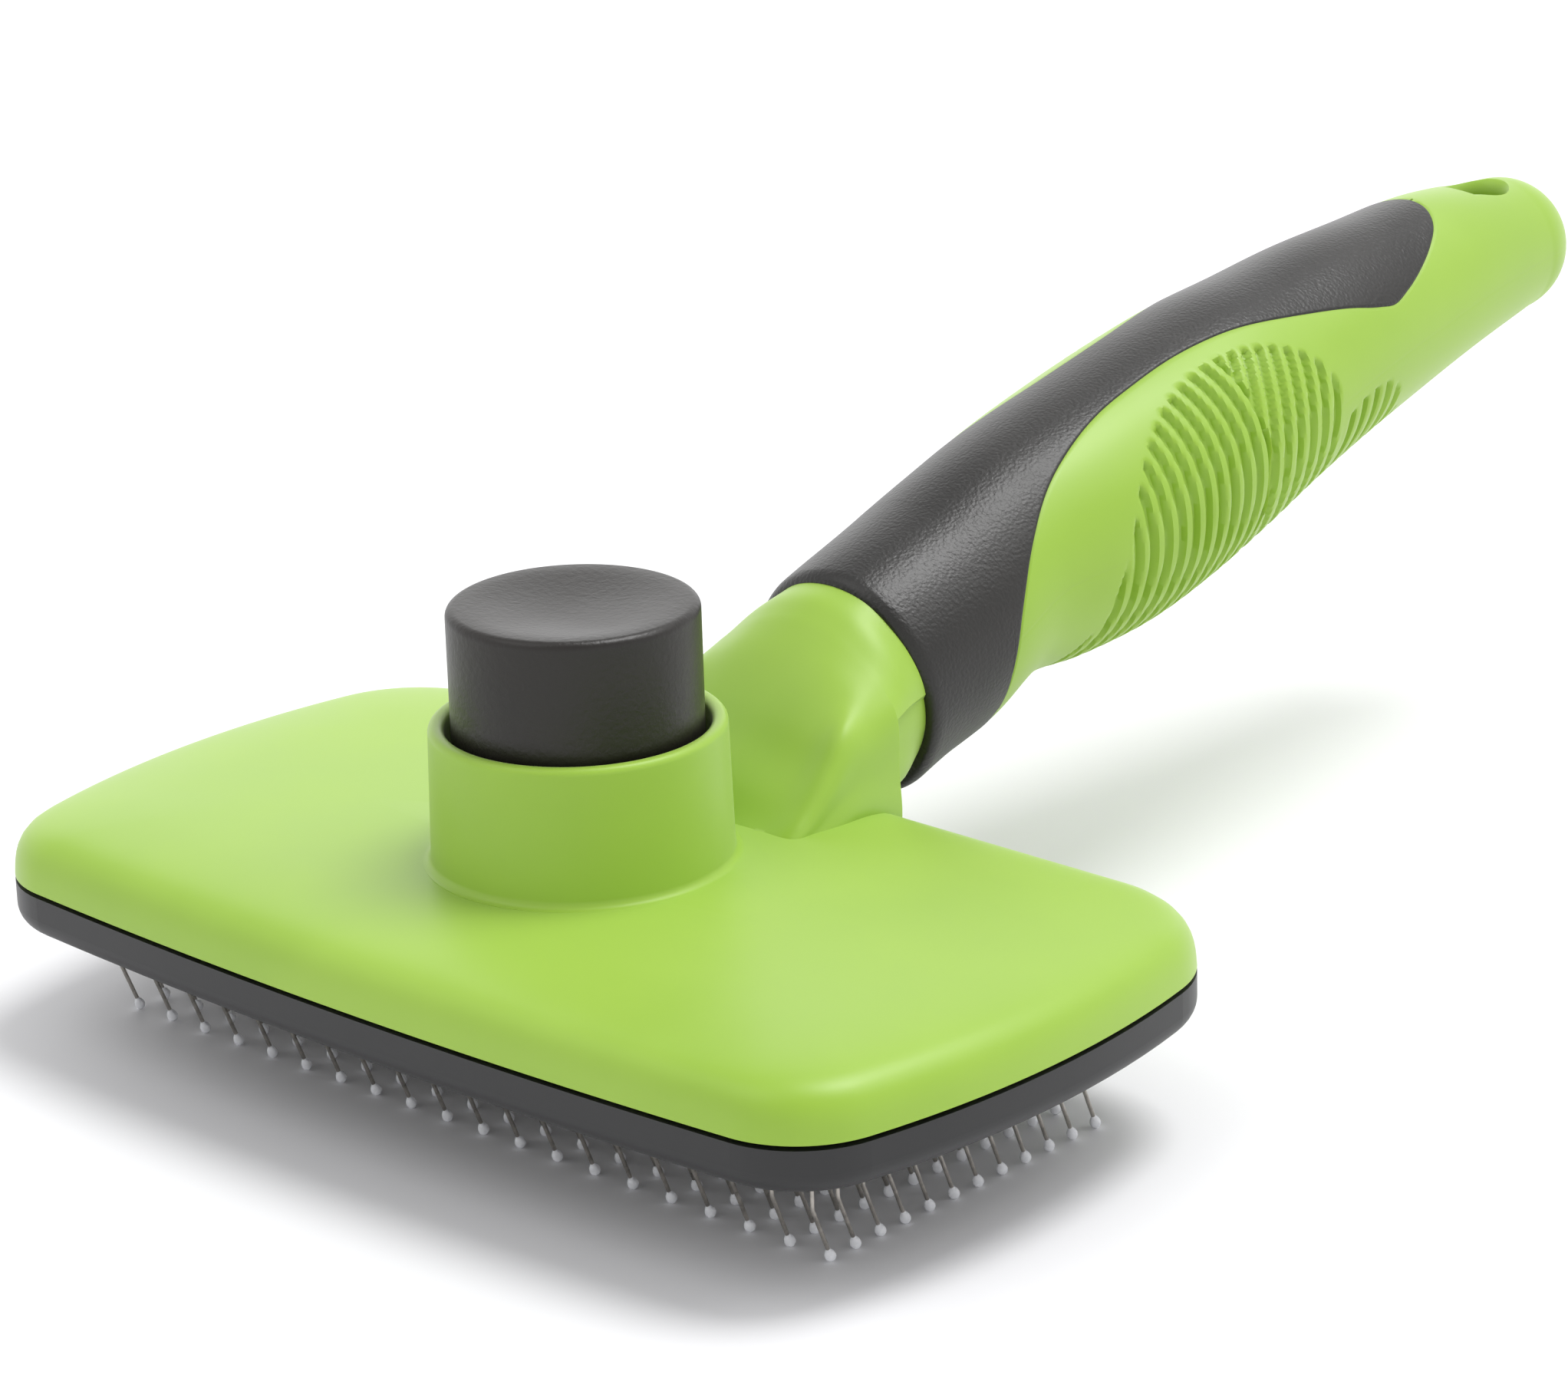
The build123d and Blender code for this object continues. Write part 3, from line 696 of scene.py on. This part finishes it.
# ---------------------------------------------------------------- handle

def grip_edge_line():
    """The grip's edge, sampled evenly along its length: arrays of y and angle."""
    points = np.array(GRIP_EDGE)
    across = np.radians(np.abs(np.diff(points[:, 1]))) * USUAL_R
    along = np.diff(points[:, 0])
    lengths = np.concatenate([[0], np.cumsum(np.hypot(across, along))])
    stations = list(zip(lengths, points))
    line = smooth_values(stations, np.arange(0, lengths[-1], EDGE_SAMPLE))
    line = np.vstack([line, points[-1]])
    y = np.maximum.accumulate(line[:, 0])
    always_rising = np.arange(len(y)) * 1e-5
    return y + always_rising, np.clip(line[:, 1], LEAST_ANGLE, 180)


EDGE_Y, EDGE_ANGLE = grip_edge_line()


def handle_size(y):
    """Height of the centre line and radius of the handle, tail end included."""
    stations = [(s[0], s[1:]) for s in HANDLE]
    z, r = smooth_values(stations, y).T
    past = np.clip((np.asarray(y, float) - TAIL_Y) / TAIL_R, 0, 0.9999)
    return z, r * np.sqrt(1 - past * past)


def handle_radius(y):
    """Radius of the handle at one station."""
    return handle_size([y])[1][0]


def grip_angle(y):
    """Half angle that the soft grip covers."""
    return np.interp(y, EDGE_Y, EDGE_ANGLE)


def leaning_y(y, z):
    """Lean the sections near the neck so that the first one lies in the ring's plane."""
    fade = 1 - smooth_step((y - NECK_RING_Y) / (RING_REAR_Y - NECK_RING_Y))
    return y - (z - NECK_RING_Z) * math.tan(RING_TILT) * fade


def on_handle(y, angle, radius):
    """Points of the handle at one station, angles in degrees from the top towards +X."""
    centre_z = handle_size([y])[0][0]
    a = np.radians(angle)
    z = centre_z + radius * np.cos(a)
    return np.column_stack([radius * np.sin(a), leaning_y(y, z), z])


def both_sides(values):
    """Values from the middle to a border, mirrored to run from border to border."""
    return np.concatenate([values[::-1], values[1:]])


def edge_distance(angle, edge_angle, edge_slope, radius):
    """Distance in millimetres from the grip's edge, positive on the green side."""
    across = np.radians(np.abs(angle) - edge_angle) * radius
    return across / np.sqrt(1 + (np.radians(edge_slope) * radius) ** 2)


def groove(phase):
    """Depth share of a groove at a rib phase: 0 on a crest, 1 in the groove's floor."""
    return smooth_step(0.35 - 0.95 * np.cos(2 * math.pi * phase))


def main_ribs(y, a):
    """Grooves of the front group, and of the rear group behind its last rib."""
    bow = ((a - 90) / FRONT_BOW_ANGLE) ** 2
    bow = np.where(a < 90, bow, BELOW_BOW_SHARE * bow)
    crest = FRONT_CREST_Y - FRONT_BOW * bow
    front = groove((crest - y) / FRONT_PITCH)
    spread = ((np.minimum(a, REAR_BOW_LIMIT) - REAR_BOW_FROM) / REAR_BOW_ANGLE) ** 2
    rear = groove((y - REAR_CREST_Y - REAR_BOW * spread) / (REAR_PITCH - REAR_FAN * spread))
    return np.where(y < crest + FRONT_PITCH / 2, front, rear)


def main_zone(y, a, radius):
    """Share of the main ribs: an oval on the side, which runs on round the underside."""
    oval = 1 - ((y - ZONE_Y) / ZONE_HALF_Y) ** 2 - ((a - ZONE_ANGLE) / ZONE_HALF_ANGLE) ** 2
    slant = y - (ZONE_START_Y - ZONE_SLANT * (a - ZONE_START_ANGLE))
    along = np.minimum(slant, ZONE_END_Y - y)
    below = np.minimum(along, np.radians(a - BELOW_ANGLE) * radius)
    return smooth_step(np.maximum(oval * ZONE_SPAN, below) / RIB_FADE)


def patch_ribs(y, a):
    """Grooves of the rear patch, with a rounded outline."""
    patch = 1 - np.abs((y - PATCH_Y) / PATCH_HALF) ** 3 - ((180 - a) / PATCH_HALF_ANGLE) ** 3
    inside = np.minimum(patch * PATCH_SPAN, y - ZONE_END_Y + PATCH_LEAD)
    return groove((y - PATCH_CREST_Y) / PATCH_PITCH) * smooth_step(inside / RIB_FADE)


def rib_depth(y, angle, radius):
    """How deep the surface lies under the ribs' crests."""
    a = np.abs(angle)
    return RIB_DEPTH * (main_ribs(y, a) * main_zone(y, a, radius) + patch_ribs(y, a))


def handle_rows():
    """Stations along the handle: close together on the ribs and at the grip's ends."""
    ribbed = np.arange(RIBBED_FROM, RIBBED_TO, RIBBED_STEP)
    edge = EDGE_Y[(EDGE_Y < RIBBED_FROM) | (EDGE_Y > RIBBED_TO)]
    plain = np.arange(GRIP_END_Y + 0.5, TAIL_Y, PLAIN_STEP)
    tail = TAIL_Y + TAIL_R * np.sin(np.radians(np.arange(0, TAIL_ANGLE + 1, TAIL_STEP_ANGLE)))
    rows = [RING_REAR_Y]
    for y in np.sort(np.concatenate([ribbed, edge, plain, tail])):
        if y - rows[-1] > LEAST_ROW_STEP:
            rows.append(y)
    return np.array(rows)


def shares(count):
    """Even shares from 0 to 1."""
    return np.linspace(0, 1, count)


def upper_points(y, edge, beyond):
    """Angles from the upper half's middle, and which of them lie in the grip's bed."""
    border = min(edge, 90.0)
    if beyond:
        widening = smooth_step((y - GRIP_END_Y) / TAIL_BORDER_LENGTH)
        border = TAIL_BORDER_ANGLE * widening + LEAST_ANGLE
    bed = border * shares(UPPER_BED_POINTS)
    strip = border + (90.0 - border) * shares(UPPER_STRIP_POINTS)
    local = np.concatenate([bed, strip])
    return local, np.arange(len(local)) < len(bed)


def lower_points(edge, bare):
    """Angles from the lower half's middle, and which of them lie in the grip's bed."""
    border = 180.0 - (GRIP_EDGE[0][1] if bare else max(edge, 90.0))
    strip = border * shares(LOWER_STRIP_POINTS)
    bed = border + (90.0 - border) * shares(LOWER_BED_POINTS)
    local = np.concatenate([strip, bed])
    return local, np.arange(len(local)) >= len(strip)


def handle_half(name, upper):
    """One green half of the handle, hollow up to the tail, with a bed for the grip."""
    ys = handle_rows()
    edges = grip_angle(ys)
    slopes = np.gradient(edges, ys)
    stations = [(NECK_RING_Y, 180.0, 0.0, True), (RING_REAR_Y - 0.02, 180.0, 0.0, True)]
    stations += [(y, e, s, False) for y, e, s in zip(ys, edges, slopes)]
    loops = []
    for y, edge, slope, bare in stations:
        beyond = y >= GRIP_END_Y - 0.001
        r0 = handle_radius(y)
        if upper:
            local, in_bed = upper_points(y, edge, beyond)
            angle = local
            covered = in_bed | (edge >= 90.0)
            signed = np.concatenate([-angle[::-1], angle[1:]])
        else:
            local, in_bed = lower_points(edge, bare)
            angle = 180.0 - local
            covered = in_bed & (edge > 90.0)
            signed = np.concatenate([angle[::-1], 360 - angle[1:]])
        hidden = np.full(len(local), bare)
        edge_drop = 0.0
        if not beyond:
            hidden |= covered
            away = edge_distance(angle, edge, slope, r0)
            edge_drop = CORE_EDGE_DROP * (1 - smooth_step(np.abs(away) / GROOVE_WIDTH))
        from_joint = (90.0 - local) * math.radians(1) * r0
        joint = HALVES_GROOVE * (1 - smooth_step(from_joint / GROOVE_WIDTH))
        radius = r0 - rib_depth(y, angle, r0) - edge_drop - joint
        radius = np.where(hidden, r0 - BED_DEPTH, radius)
        outer = on_handle(y, signed, both_sides(radius))
        inner_r = min(r0 - BED_DEPTH - CORE_WALL, CAVITY_R) if y < CAVITY_END_Y else 0.0
        inner_angles = signed[::-1][::INNER_STRIDE]
        inner = on_handle(y, inner_angles, np.full(len(inner_angles), inner_r))
        if inner_r == 0.0:
            inner[:, 1] = y
        loops.append(np.vstack([outer, inner]))
    return loft(name, loops, 38.0)


def hole_cutter():
    """The hanging hole with its rolled mouths, as a turned solid."""
    z = HANDLE[-1][1]
    top = TAIL_R + HOLE_LIP_RISE
    lip = HOLE_LIP_R
    profile = [(0.0, z + top + 2), (HOLE_R + lip, z + top + 2), (HOLE_R + lip, z + top)]
    profile += quarter((HOLE_R + lip, z + top - lip), lip, 90, 180, 10)
    lower = [(r, 2 * z - h) for r, h in reversed(profile)]
    return turned("hole_cutter", profile + lower, y=HOLE_Y, steps=72)


def tongue_angles(edge, radius):
    """Angles from the grip's middle to its edge, close together near the edge."""
    offset = np.degrees(NEAR_EDGE / radius)
    offset = offset * min(1.0, edge / (4 * offset[-1]))
    middle = shares(TONGUE_POINTS)[:-1]
    return np.concatenate([(edge - offset[-1]) * middle, edge - offset[::-1]])


def grip_ring():
    """Closed rows of the ring behind the neck, as (outer, inner) blocks of points."""
    edge_at = GRIP_EDGE[0][1]
    underneath = np.linspace(edge_at, 180.0, RING_POINTS)[1:]
    lip = GRIP_LIP_R * (1 - np.cos(np.radians(np.arange(0, 91, 11.25))))
    plain = np.arange(NECK_RING_Y + GRIP_LIP_R + 0.5, RING_REAR_Y - 0.45, RING_STEP)
    ys = np.concatenate([NECK_RING_Y + lip, plain, RING_REAR_Y - NEAR_EDGE[::-1]])
    rows = []
    for y in ys:
        r0 = handle_radius(y)
        half = np.concatenate([tongue_angles(edge_at, r0), underneath])
        back = np.clip(1 - (RING_REAR_Y - y) / GRIP_EDGE_R, 0, 1)
        front = np.clip(1 - (y - NECK_RING_Y) / GRIP_LIP_R, 0, 1)
        lip_drop = GRIP_LIP_DROP * (1 - math.sqrt(1 - front * front))
        radius = np.full(len(half), r0 + GRIP_PROUD - lip_drop)
        radius -= np.where(half > edge_at - 1, RING_EDGE_DROP * back * back, 0.0)
        angle = np.concatenate([-half[::-1], half[1:-1]])
        bed = np.full(len(angle), r0 - BED_DEPTH + BED_PLAY)
        outer = on_handle(y, angle, np.concatenate([radius[::-1], radius[1:-1]]))
        rows.append((outer, on_handle(y, angle, bed)))
    return rows


def grip_tongue():
    """Open rows of the tongue along the top, as (outer, inner) blocks of points."""
    ys = handle_rows()
    ys = ys[(ys > RING_REAR_Y + LEAST_ROW_STEP) & (ys < GRIP_END_Y)]
    edges = grip_angle(ys)
    slopes = np.gradient(edges, ys)
    rows = []
    for y, edge, slope in zip(ys, edges, slopes):
        r0 = handle_radius(y)
        half = tongue_angles(edge, r0)
        away = -edge_distance(half, edge, slope, r0)
        rounding = np.clip(1 - away / GRIP_EDGE_R, 0, 1) ** 2
        radius = r0 + GRIP_PROUD - GRIP_EDGE_DROP * rounding
        angle = np.concatenate([-half[::-1], half[1:]])
        bed = np.full(len(angle), r0 - BED_DEPTH + BED_PLAY)
        rows.append((on_handle(y, angle, both_sides(radius)), on_handle(y, angle, bed)))
    return rows


def soft_grip():
    """Black over-moulded grip: a ring behind the neck and a tongue along the top."""
    points = []

    def add(rows):
        """Keep the points of some rows; returns the numbers of the outer and inner ones."""
        numbered = ([], [])
        for row in rows:
            for block, numbers in zip(row, numbered):
                start = sum(len(b) for b in points)
                points.append(block)
                numbers.append(list(range(start, start + len(block))))
        return numbered

    ring_outer, ring_inner = add(grip_ring())
    tongue_outer, tongue_inner = add(grip_tongue())
    width = len(tongue_outer[0])
    spare = (len(ring_outer[0]) + 1 - width) // 2
    picked = slice(spare, spare + width)
    last_outer, last_inner = ring_outer[-1], ring_inner[-1]
    faces = strips(ring_outer, closed=True) + strips(ring_inner, closed=True)
    faces += strips([last_outer[picked]] + tongue_outer)
    faces += strips([last_inner[picked]] + tongue_inner)
    faces += strips([ring_outer[0], ring_inner[0]], closed=True)
    rest_outer = last_outer[spare + width - 1:] + last_outer[:spare + 1]
    rest_inner = last_inner[spare + width - 1:] + last_inner[:spare + 1]
    faces += strips([rest_outer, rest_inner])
    for side in (0, -1):
        outer_column = [last_outer[picked][side]] + [row[side] for row in tongue_outer]
        inner_column = [last_inner[picked][side]] + [row[side] for row in tongue_inner]
        faces += strips([outer_column, inner_column])
    faces += strips([tongue_outer[-1], tongue_inner[-1]])
    return new_piece("grip_overmould", np.concatenate(points), faces, 42.0)


# ---------------------------------------------------------------- stage, lights, camera

def floor():
    """A plain pale sweep for the object to stand on."""
    mesh = bpy.data.meshes.new("floor")
    half = FLOOR_HALF
    corners = [(-half, -half, 0), (half, -half, 0), (half, half, 0), (-half, half, 0)]
    mesh.from_pydata(corners, [], [(0, 1, 2, 3)])
    plane = bpy.data.objects.new("floor", mesh)
    bpy.context.scene.collection.objects.link(plane)
    material, _, bsdf, _ = shader("pale_floor", 0.6)
    bsdf.inputs["Base Color"].default_value = (0.83, 0.83, 0.845, 1)
    bsdf.inputs["Specular IOR Level"].default_value = 0.2
    paint(plane, material)


def add_sun(name, toward, energy, spread):
    """A soft distant light from a direction, its spread in degrees."""
    sun = bpy.data.lights.new(name, "SUN")
    sun.energy = energy
    sun.angle = math.radians(spread)
    lamp = bpy.data.objects.new(name, sun)
    lamp.rotation_euler = Vector(toward).to_track_quat("Z", "Y").to_euler()
    bpy.context.scene.collection.objects.link(lamp)


def add_panel(tree, place, level, toward, strength, edge, core):
    """A soft bright panel of the room, added to its level: a cone about a direction."""
    aim = tree.nodes.new("ShaderNodeVectorMath")
    aim.operation = "DOT_PRODUCT"
    aim.inputs[1].default_value = Vector(toward).normalized()
    tree.links.new(place, aim.inputs[0])
    total = tree.nodes.new("ShaderNodeMath")
    total.operation = "ADD"
    tree.links.new(level, total.inputs[0])
    tree.links.new(value_range(tree, aim.outputs["Value"], 0.0, strength, edge, core), total.inputs[1])
    return total.outputs["Value"]


def light_the_set():
    """Soft key from above and behind, a weak fill, and a pale room with bright panels."""
    for name, toward, energy, spread in SUNS:
        add_sun(name, toward, energy, spread)
    world = bpy.data.worlds.new("room")
    bpy.context.scene.world = world
    world.use_nodes = True
    tree = world.node_tree
    background = tree.nodes["Background"]
    place = tree.nodes.new("ShaderNodeTexCoord").outputs["Generated"]
    split = tree.nodes.new("ShaderNodeSeparateXYZ")
    tree.links.new(place, split.inputs["Vector"])
    level = value_range(tree, split.outputs["Z"], ROOM_LOW, ROOM_HIGH, 0.25, 0.75)
    for toward, strength, edge, core in PANELS:
        level = add_panel(tree, place, level, toward, strength, edge, core)
    background.inputs["Color"].default_value = (1.0, 1.0, 1.0, 1)
    tree.links.new(level, background.inputs["Strength"])
    bpy.context.scene.view_settings.view_transform = "Standard"
    bpy.context.scene.view_settings.look = "None"


def add_camera():
    """The view from front right, above the head."""
    az, el, roll = CAMERA_AZIMUTH, CAMERA_ELEVATION, CAMERA_ROLL
    back = Vector((math.sin(az) * math.cos(el), -math.cos(az) * math.cos(el), math.sin(el)))
    level = Vector((math.cos(az), math.sin(az), 0))
    up = back.cross(level)
    right = level * math.cos(roll) + up * math.sin(roll)
    top = up * math.cos(roll) - level * math.sin(roll)
    data = bpy.data.cameras.new("camera")
    data.lens = CAMERA_LENS
    data.sensor_width = SENSOR_WIDTH
    data.sensor_fit = "HORIZONTAL"
    data.clip_start = 0.01
    camera = bpy.data.objects.new("camera", data)
    matrix = Matrix((right, top, back)).transposed().to_4x4()
    matrix.translation = Vector(CAMERA_PLACE)
    camera.matrix_world = matrix
    bpy.context.scene.collection.objects.link(camera)
    bpy.context.scene.camera = camera


# ---------------------------------------------------------------- build

def place_piece(piece, material, slot, body, *replaced):
    """Paint a piece, hide the CAD nodes that it replaces, and hang it on its body."""
    paint(piece, material)
    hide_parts(*replaced)
    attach(piece, body)


def finishes():
    """Materials of the CAD nodes that keep their shape, by slot."""
    dark = plain_plastic("dark_plastic_satin", (0.011, 0.011, 0.0116), (0.015, 0.015, 0.0156), 0.42)
    inner = plain_plastic("inner_plastic_plain", (0.10, 0.10, 0.105), (0.13, 0.13, 0.135), 0.5)
    sheet = plain_plastic("backing_sheet_plain", (0.26, 0.26, 0.27), (0.32, 0.32, 0.33), 0.6)
    wire = metal("drawn_wire", (0.36, 0.34, 0.31), (0.5, 0.47, 0.43), 0.34)
    steel = metal("plated_steel", (0.55, 0.55, 0.57), (0.66, 0.66, 0.68), 0.28)
    return {"dark_plastic": dark, "inner_plastic": inner, "backing_sheet": sheet,
            "steel_wire": wire, "steel": steel, "white_tip": white_tip()}


def paint_kept_nodes(by_slot):
    """Give the CAD nodes whose shape is right their materials."""
    slots = {"face_plate": "dark_plastic", "pin_board": "inner_plastic",
             "plunger_stem": "inner_plastic", "pin_backing_sheet": "backing_sheet",
             "board_screws": "steel", "stem_screw": "steel"}
    for name, node in nodes.items():
        if name.startswith("pin_row_"):
            paint(node, by_slot["steel_wire"])
        elif name.startswith("pin_tips_"):
            paint(node, by_slot["white_tip"])
        elif name in slots:
            paint(node, by_slot[slots[name]])


def add_spring(material):
    """The coil spring, on the root body, with a mesh of its own."""
    spring = coil_spring()
    place_piece(spring, material, "steel", "root", "return_spring")
    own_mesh(spring)


def build():
    """Make every piece, paint the CAD nodes that stay, and set the stage."""
    green = green_plastic()
    place_piece(head_shell(), green, "green_plastic", "root", "head_shell")
    place_piece(push_button(), button_plastic(), "button_plastic", "plunger", "push_button")
    upper = handle_half("handle_upper_moulding", upper=True)
    lower = handle_half("handle_lower_moulding", upper=False)
    for half in (upper, lower):
        combine(half, hole_cutter(), "DIFFERENCE")
        shade(half, 38.0)
    place_piece(upper, green, "green_plastic", "root", "handle_core_upper")
    place_piece(lower, green, "green_plastic", "root", "handle_core_lower")
    place_piece(soft_grip(), black_rubber(), "black_rubber", "root", "soft_grip")
    by_slot = finishes()
    add_spring(by_slot["steel"])
    paint_kept_nodes(by_slot)
    floor()
    light_the_set()
    add_camera()


build()
